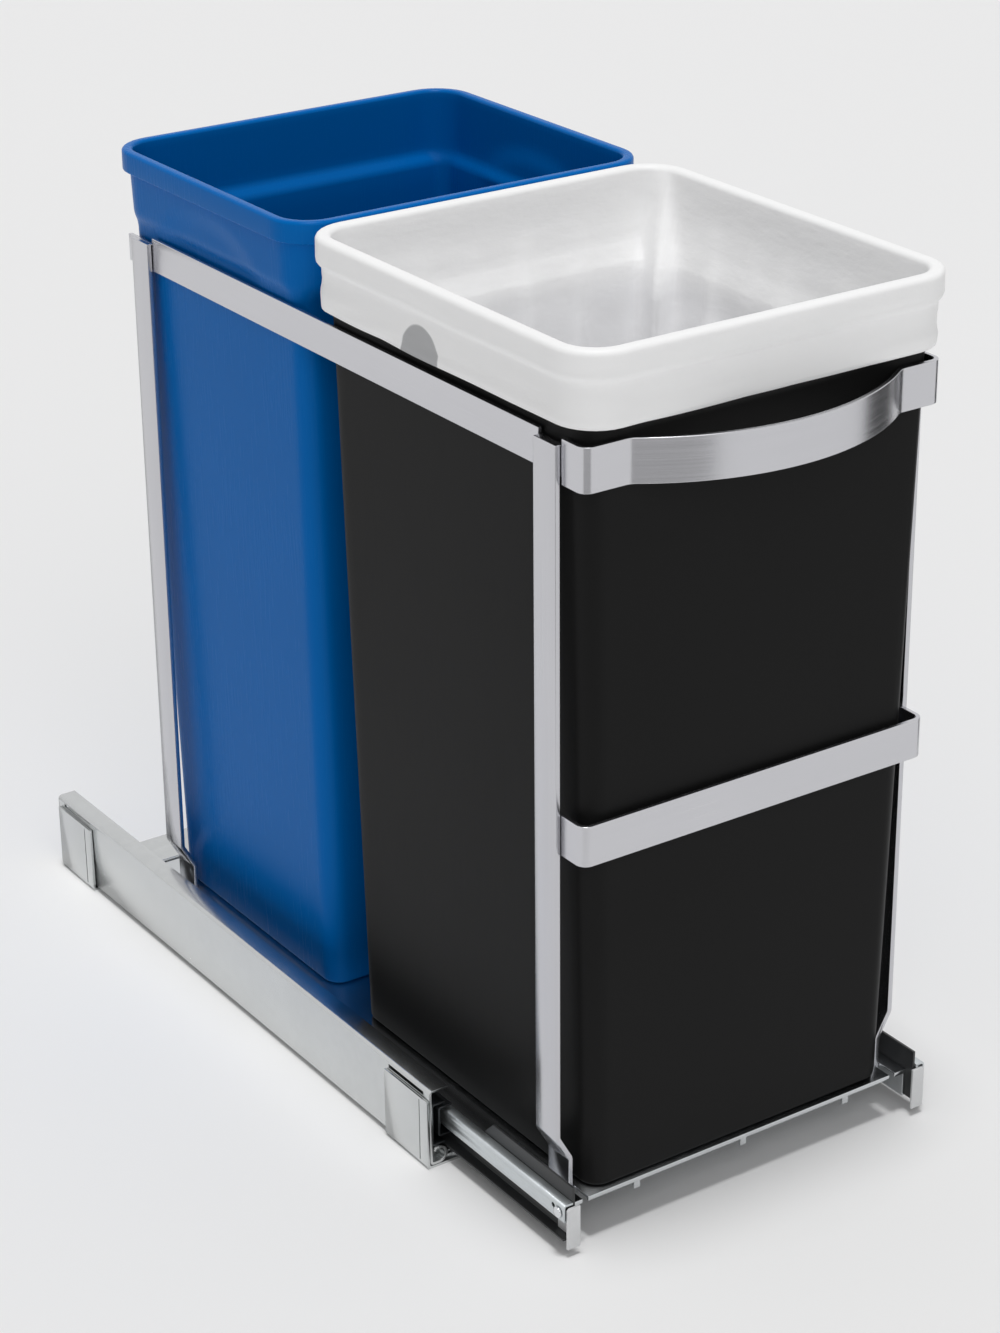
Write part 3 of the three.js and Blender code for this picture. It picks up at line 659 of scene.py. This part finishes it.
def rounded_loop(shape, outline, level, side_cuts):
    """Edges that run round an outline at one height."""
    known = set(shape.edges)
    front, back, half = outline.front, outline.back, outline.half
    spots = ((-half, front), (half, front), (half, back), (-half, back))
    corners = [shape.verts.new((x, y, level)) for x, y in spots]
    shape.faces.new(corners)
    bmesh.ops.bevel(
        shape,
        geom=corners,
        offset=outline.radius,
        segments=CORNER_STEPS,
        profile=0.5,
        affect="VERTICES",
        material=-1,
    )
    loop = [edge for edge in shape.edges if edge not in known]
    bmesh.ops.delete(shape, geom=loop[0].link_faces[:], context="FACES_ONLY")
    longest = sorted(loop, key=lambda edge: edge.calc_length())[-4:]
    bmesh.ops.subdivide_edges(shape, edges=longest, cuts=side_cuts)
    return [edge for edge in shape.edges if edge not in known]


def skin(shape, loops):
    """Bridges each loop to the next."""
    for lower, upper in zip(loops, loops[1:]):
        bmesh.ops.bridge_loops(shape, edges=lower + upper)


def round_over(shape, loop, radius, steps):
    """Rounds the bend along a loop."""
    bmesh.ops.bevel(
        shape,
        geom=loop,
        offset=radius,
        segments=steps,
        profile=0.5,
        affect="EDGES",
        material=-1,
    )


def divide_tall(shape, shortest, cuts):
    """Divides every edge that climbs further than a height."""
    tall = [
        edge
        for edge in shape.edges
        if abs(edge.verts[0].co.z - edge.verts[1].co.z) > shortest
    ]
    bmesh.ops.subdivide_edges(shape, edges=tall, cuts=cuts, use_grid_fill=True)


# %% [markdown]
# ## The bins
# Seen from below, a bin's wall leans out to a rounded shoulder, steps out to a collar and
# ends in a thick lip. A bin is made as one closed skin, up the outside, over the lip and
# down the inside, because the inside shows from above. A hand grip is pressed into both
# long collars: those points are pushed in along a soft arch, outside and inside alike.

# %% Bins
BIN_WALL = 2.2 * MM
BIN_GAP = 1 * MM
LIP_OUT = 4 * MM
LIP_HEIGHT = 12 * MM
COLLAR_HEIGHT = 42.5 * MM
COLLAR_LEAN = 1 * MM
SHOULDER = 6 * MM
SIDE_TAPER = 8 * MM
END_TAPER = 4 * MM
RIM_CORNER = 24 * MM
BODY_CORNER = 11 * MM
GRIP_LENGTH = 112 * MM
GRIP_RISE = 26 * MM
GRIP_DEPTH = 1.7 * MM
GRIP_SLOPE = 0.8  # the share of the grip's arch over which it gets its depth
GRIP_BELOW = 0.4  # how far it fades out below the shoulder, as a share of its rise
COLLAR_WALLS = 16 * MM  # from the rim inwards, a band that holds both skins of a collar
FOOT_ROUND = 3 * MM
SHOULDER_ROUND = 2.4 * MM
LIP_FOOT_ROUND = 0.5 * MM
LIP_EDGE_ROUND = 0.9 * MM
LIP_TOP_ROUND = 1.9 * MM
WALL_HEIGHT = 200 * MM  # edges taller than this belong to the walls
COLLAR_EDGE = 14 * MM  # and taller than this, to the collar
BIN_SIDE_CUTS = 40
BIN_WALL_CUTS = 39
BIN_COLLAR_CUTS = 8
shoulder_level = rim_top - COLLAR_HEIGHT
end_neck = low("middle_band").y + BAND_SHEET + BIN_GAP - low("front_bucket").y


def bin_outlines(node):
    """A bin's outline at its rim, under its shoulder and at its foot."""
    back, front = high(node).y, low(node).y
    rim = Outline(high(node).x, front, back, RIM_CORNER)
    half = strap_inner - BIN_GAP
    top = Outline(half, front + end_neck, back - end_neck, BODY_CORNER)
    foot = Outline(half - SIDE_TAPER, top.front + END_TAPER, top.back - END_TAPER, BODY_CORNER)
    return rim, top, foot


def grip_depth(spot, middle):
    """How far a hand grip is pressed in at a point of a side collar."""
    along = (spot.y - middle) / (GRIP_LENGTH / 2)
    up = (spot.z - shoulder_level) / GRIP_RISE
    reach = 1 - along**2 - max(up, 0) ** 2
    if reach <= 0 or up < -GRIP_BELOW:
        return 0
    soft = min(reach / GRIP_SLOPE, 1)
    fade = min(1, (up + GRIP_BELOW) / GRIP_BELOW)
    return GRIP_DEPTH * soft * soft * (3 - 2 * soft) * fade


def press_grips(shape, middle, half):
    """Presses a hand grip into both side collars."""
    for vert in shape.verts:
        if abs(vert.co.x) > half - COLLAR_WALLS:
            vert.co.x -= math.copysign(grip_depth(vert.co, middle), vert.co.x)


def moulded_bin(node, name, finish):
    """One bin, from its foot up the outside, over the lip and down the inside."""
    rim, top, foot = bin_outlines(node)
    collar_foot = shoulder_level + SHOULDER
    lip_foot = rim_top - LIP_HEIGHT
    shape = bmesh.new()
    # Each row: an outline, its height, and the radius and steps that round it over.
    rows = [
        (foot, floor_of_bins, FOOT_ROUND, 6),
        (top, shoulder_level, SHOULDER_ROUND, 4),
        (rim.inside(LIP_OUT + COLLAR_LEAN), collar_foot, SHOULDER_ROUND, 4),
        (rim.inside(LIP_OUT), lip_foot, LIP_FOOT_ROUND, 2),
        (rim, lip_foot, LIP_EDGE_ROUND, 3),
        (rim, rim_top, LIP_TOP_ROUND, 5),
        (rim.inside(LIP_OUT + BIN_WALL), rim_top, LIP_TOP_ROUND, 5),
        (rim.inside(LIP_OUT + COLLAR_LEAN + BIN_WALL), collar_foot, SHOULDER_ROUND, 4),
        (top.inside(BIN_WALL), shoulder_level, SHOULDER_ROUND, 4),
        (foot.inside(BIN_WALL), floor_of_bins + BIN_WALL, FOOT_ROUND, 5),
    ]
    loops = [rounded_loop(shape, row[0], row[1], BIN_SIDE_CUTS) for row in rows]
    skin(shape, loops)
    bmesh.ops.edgeloop_fill(shape, edges=loops[0])
    bmesh.ops.edgeloop_fill(shape, edges=loops[-1])
    for loop, (_, _, radius, steps) in zip(loops, rows):
        round_over(shape, loop, radius, steps)
    divide_tall(shape, WALL_HEIGHT, BIN_WALL_CUTS)
    divide_tall(shape, COLLAR_EDGE, BIN_COLLAR_CUTS)
    bmesh.ops.recalc_face_normals(shape, faces=shape.faces)
    press_grips(shape, (rim.front + rim.back) / 2, rim.half)
    return finish_piece(shape, name, node, finish)


blue_bin = moulded_bin("rear_bucket", "rear_bin_shell", blue_plastic)
black_bin = moulded_bin("front_bucket", "front_bin_shell", black_plastic)
print("bins:", len(blue_bin.data.polygons), "and", len(black_bin.data.polygons), "faces")

# %% [markdown]
# ## The liner bag
# The bag lines the front bin, is folded over its lip and hangs outside as a cuff. It is
# made as a loft of the same loops as the bin, a little clear of it. Film doesn't fill a
# bin neatly: below the collar it hangs free in tall folds. The folds are written as
# creases, and every point is moved by their sum. The spare width of the film is gathered
# in one deep pleat, which starts at the rim in the right rear corner and opens downwards.

# %% Bag
FILM = 0.4 * MM
CLEAR = 0.5 * MM
BAG_FLOOR = 6 * MM
BAG_FLOOR_ROUND = 14 * MM
BAG_LIP_ROUND = 2.4 * MM
CUFF_ROUND = 1.6 * MM
CUFF_INSET = 2.3 * MM
CUFF_HEM_INSET = 1.9 * MM
GRIP_ROOM = 4.6 * MM  # from the collar's inner face to the film, past the hand grips
WALL_ROOM = 3 * MM
CUFF_WRINKLE = 2.4 * MM
WRINKLE_SIZE = Vector((60, 60, 9)) * MM
WAVE_SIZE = Vector((70, 70, 26)) * MM
WAVE_DEPTH = 5 * MM
SLACK_START = 22 * MM  # above the shoulder, where the film starts to hang free
SLACK_TOP = 3 * MM
SLACK_FOOT = 5 * MM
PLEAT_TURN = 47  # degrees round the bag
PLEAT_TOP = 1.6  # half its width there, in degrees
PLEAT_FOOT = 7
PLEAT_DEPTH = 24 * MM
BAG_SIDE_CUTS = 44
BAG_WALL_CUTS = 59
BAG_CUFF_EDGE = 9 * MM  # edges taller than this are divided
BAG_CUFF_CUTS = 7
bag_middle = (low("front_bucket").y + high("front_bucket").y) / 2
bag_half_width = high("front_bucket").x
bag_half_length = (high("front_bucket").y - low("front_bucket").y) / 2

# Each crease: where it starts and ends round the bag in degrees from the rear wall's
# middle, clockwise from above, how wide it is in degrees, and how far in it stands.
creases = [
    (-24, -32, 6, 7 * MM),
    (-9, -4, 4, 5 * MM),
    (10, 3, 5, 8 * MM),
    (27, 31, 4, 6 * MM),
    (62, 70, 5, 11 * MM),
    (78, 75, 3, 6 * MM),
    (92, 97, 6, 9 * MM),
    (112, 119, 5, 8 * MM),
    (135, 133, 4, 13 * MM),
    (160, 168, 8, 5 * MM),
    (-170, -161, 7, 6 * MM),
    (-135, -137, 4, 12 * MM),
    (-104, -112, 6, 6 * MM),
    (-75, -68, 7, 5 * MM),
    (-45, -44, 4, 13 * MM),
]


def round_the_bag(spot):
    """A point's place round the bag in degrees, 0 at the rear and 90 at the right."""
    to_right = spot.x / bag_half_width
    to_rear = (spot.y - bag_middle) / bag_half_length
    return math.degrees(math.atan2(to_right, to_rear))


def turn_between(first, second):
    """The short way round from one turn to another, in degrees."""
    return (first - second + 180) % 360 - 180


def crease_depth(turn, sink):
    """The sum of the creases at one place, at a share of the way down the bag."""
    total = 0
    for start, end, width, depth in creases:
        away = turn_between(turn, start + (end - start) * sink)
        spread = width * (0.35 + 0.65 * min(sink * 2.2, 1))
        total += depth * math.exp(-abs(away) / spread)
    return total


def pleat_depth(turn, drop):
    """How far in the pleat stands, at a share of the way down the bag."""
    away = turn_between(turn, PLEAT_TURN)
    spread = PLEAT_TOP + (PLEAT_FOOT - PLEAT_TOP) * min(drop * 2, 1)
    return PLEAT_DEPTH * min(drop * 7, 1) * math.exp(-((away / spread) ** 2))


def inset_of(spot):
    """How far inside the rim's outline a point lies."""
    to_side = bag_half_width - abs(spot.x)
    to_end = bag_half_length - abs(spot.y - bag_middle)
    if max(to_side, to_end) > RIM_CORNER:
        return min(to_side, to_end)
    return RIM_CORNER - math.hypot(RIM_CORNER - to_side, RIM_CORNER - to_end)


def ripple(spot, size):
    """Noise between 0 and 1 with lumps of a size along each axis."""
    return abs(noise.noise(Vector(part / length for part, length in zip(spot, size))))


def hang(spot):
    """Moves one point of the bag to where the film hangs."""
    to_middle = Vector((-spot.x, bag_middle - spot.y, 0)).normalized()
    turn = round_the_bag(spot)
    below = max(rim_top - spot.z, 0)
    if inset_of(spot) < LIP_OUT + BIN_WALL:
        loose = min(below / CUFF_DROP, 1)
        return spot - to_middle * ripple(spot, WRINKLE_SIZE) * CUFF_WRINKLE * loose
    tall = shoulder_level - floor_of_bins
    sink = max(shoulder_level + SLACK_START - spot.z, 0) / tall
    share = min(sink * 6, 1)
    slack = SLACK_TOP * share + SLACK_FOOT * min(sink * 2, 1)
    folds = crease_depth(turn, sink) + WAVE_DEPTH * ripple(spot, WAVE_SIZE)
    return spot + to_middle * (folds * share + slack + pleat_depth(turn, below / tall))


def liner_bag():
    """The bag, from the hem of its cuff over the rim and down to its floor."""
    rim, top, foot = bin_outlines("front_bucket")
    wall = LIP_OUT + BIN_WALL
    lip_foot = rim_top - LIP_HEIGHT
    bag_floor = floor_of_bins + BIN_WALL + BAG_FLOOR
    shape = bmesh.new()
    # Each row: an outline, its height, and the radius and steps that round it over.
    rows = [
        (rim.inside(CUFF_HEM_INSET), rim_top - CUFF_DROP, 0, 0),
        (rim.inside(CUFF_INSET), lip_foot - 4 * MM, CUFF_ROUND, 3),
        (rim.inside(-CLEAR - FILM), lip_foot - 1 * MM, CUFF_ROUND, 3),
        (rim.inside(-CLEAR - FILM), rim_top + CLEAR, BAG_LIP_ROUND, 5),
        (rim.inside(wall + CLEAR), rim_top + CLEAR, BAG_LIP_ROUND, 5),
        (rim.inside(wall + GRIP_ROOM), shoulder_level + SHOULDER, 0, 0),
        (top.inside(BIN_WALL + WALL_ROOM), shoulder_level - SHOULDER, 0, 0),
        (foot.inside(BIN_WALL + WALL_ROOM), bag_floor, BAG_FLOOR_ROUND, 5),
        (foot.inside(BIN_WALL + 30 * MM), bag_floor, 0, 0),
        (foot.inside(BIN_WALL + 70 * MM), bag_floor + 1 * MM, 0, 0),
    ]
    loops = [rounded_loop(shape, row[0], row[1], BAG_SIDE_CUTS) for row in rows]
    skin(shape, loops)
    bmesh.ops.edgeloop_fill(shape, edges=loops[-1])
    for loop, (_, _, radius, steps) in zip(loops, rows):
        if steps:
            round_over(shape, loop, radius, steps)
    divide_tall(shape, WALL_HEIGHT, BAG_WALL_CUTS)
    divide_tall(shape, BAG_CUFF_EDGE, BAG_CUFF_CUTS)
    bmesh.ops.recalc_face_normals(shape, faces=shape.faces)
    for vert in shape.verts:
        vert.co = hang(vert.co)
    return finish_piece(shape, "liner_bag_film", "liner_bag", liner_film)


bag = liner_bag()
film = bag.modifiers.new("film", "SOLIDIFY")
film.thickness = FILM
film.offset = 0
print("bag:", len(bag.data.polygons), "faces")

# %% [markdown]
# ## Floor, light and background
# The unit stands on a plain pale floor. Most of the light comes straight down, so the
# shadow stays close to the unit, and a wide lamp and an even sky fill in the front. The
# sky is brighter to the camera and in reflections than it is as a light, so the
# background stays pale while colours render about as they are written.

# %% Floor
BACKGROUND = seen(234, 234, 235)
FLOOR_HALF = 12  # metres
floor_shape = bmesh.new()
bmesh.ops.create_grid(floor_shape, x_segments=1, y_segments=1, size=FLOOR_HALF)
floor_mesh = bpy.data.meshes.new("floor")
floor_shape.to_mesh(floor_mesh)
floor_shape.free()
floor = bpy.data.objects.new("floor", floor_mesh)
bpy.context.scene.collection.objects.link(floor)
paint = {"Base_Color": seen(239, 239, 239), "Roughness": 0.9, "Specular_IOR_Level": 0.1}
floor_finish = Finish("floor", **paint)
floor_mesh.materials.append(floor_finish.material)

# %% Sky and lamps
SKY_LIGHT = 0.3
world = bpy.data.worlds.new("studio")
bpy.context.scene.world = world
world.use_nodes = True
sky = world.node_tree
light_path = sky.nodes.new("ShaderNodeLightPath")
camera_ray, glossy_ray, transmission_ray = (
    Value(sky, light_path.outputs[kind])
    for kind in ("Is Camera Ray", "Is Glossy Ray", "Is Transmission Ray")
)
is_seen = (camera_ray + glossy_ray + transmission_ray).share()
feed(sky, sky.nodes["Background"].inputs["Strength"], SKY_LIGHT + (1 - SKY_LIGHT) * is_seen)
sky.nodes["Background"].inputs["Color"].default_value = BACKGROUND


def wide_lamp(name, towards, strength, width):
    """A sun that fills a cone of the given degrees."""
    light = bpy.data.lights.new(name, "SUN")
    light.energy = strength
    light.angle = math.radians(width)
    lamp = bpy.data.objects.new(name, light)
    lamp.rotation_euler = Vector(towards).to_track_quat("-Z", "Y").to_euler()
    bpy.context.scene.collection.objects.link(lamp)


wide_lamp("overhead_light", (0.02, 0.03, -1), 1.85, 13)
wide_lamp("key_light", (0.35, 0.75, -0.6), 0.6, 50)

# %% [markdown]
# ## Cards for the handle to reflect
# The bowed handle is a curved mirror, and what stands round it shows as upright stripes.
# A grey card at the left front darkens the start of the bow, and a narrow dark one at
# the right draws the stripe near its end. They show in reflections and nowhere else.

# %% Cards
CARD_HEIGHT = 300 * MM
CARD_LIFT = 20 * MM
CARD_AWAY = 550 * MM


def reflected_card(name, turn, width, brightness):
    """An upright card, at a turn round the handle: 0 is the front and 90 the right."""
    shape = bmesh.new()
    bmesh.ops.create_grid(shape, x_segments=1, y_segments=1, size=0.5)
    angle = math.radians(turn)
    spot = Vector((math.sin(angle), -math.cos(angle), 0)) * CARD_AWAY
    spot += Vector((0, low("handle_band").y, CARD_HEIGHT / 2 + CARD_LIFT))
    stand = Matrix.Rotation(angle, 4, "Z") @ Matrix.Rotation(math.pi / 2, 4, "X")
    size = Matrix.Diagonal((width, CARD_HEIGHT, 1, 1))
    placed = Matrix.Translation(spot) @ stand @ size
    bmesh.ops.transform(shape, matrix=placed, verts=shape.verts)
    mesh = bpy.data.meshes.new(name)
    shape.to_mesh(mesh)
    shape.free()
    card = bpy.data.objects.new(name, mesh)
    bpy.context.scene.collection.objects.link(card)
    glow = {"Emission_Color": seen(brightness, brightness, brightness), "Emission_Strength": 1}
    grey = Finish(name, Base_Color=(0, 0, 0, 1), Roughness=1, **glow)
    mesh.materials.append(grey.material)
    card.visible_camera = False
    card.visible_diffuse = False
    card.visible_shadow = False


reflected_card("grey_card", -38, 690 * MM, 172)
reflected_card("dark_card", 90, 230 * MM, 40)

# %% [markdown]
# ## Finish
# The picture is shown through the Standard view transform.

# %% View transform
view = bpy.context.scene.view_settings
view.view_transform = "Standard"
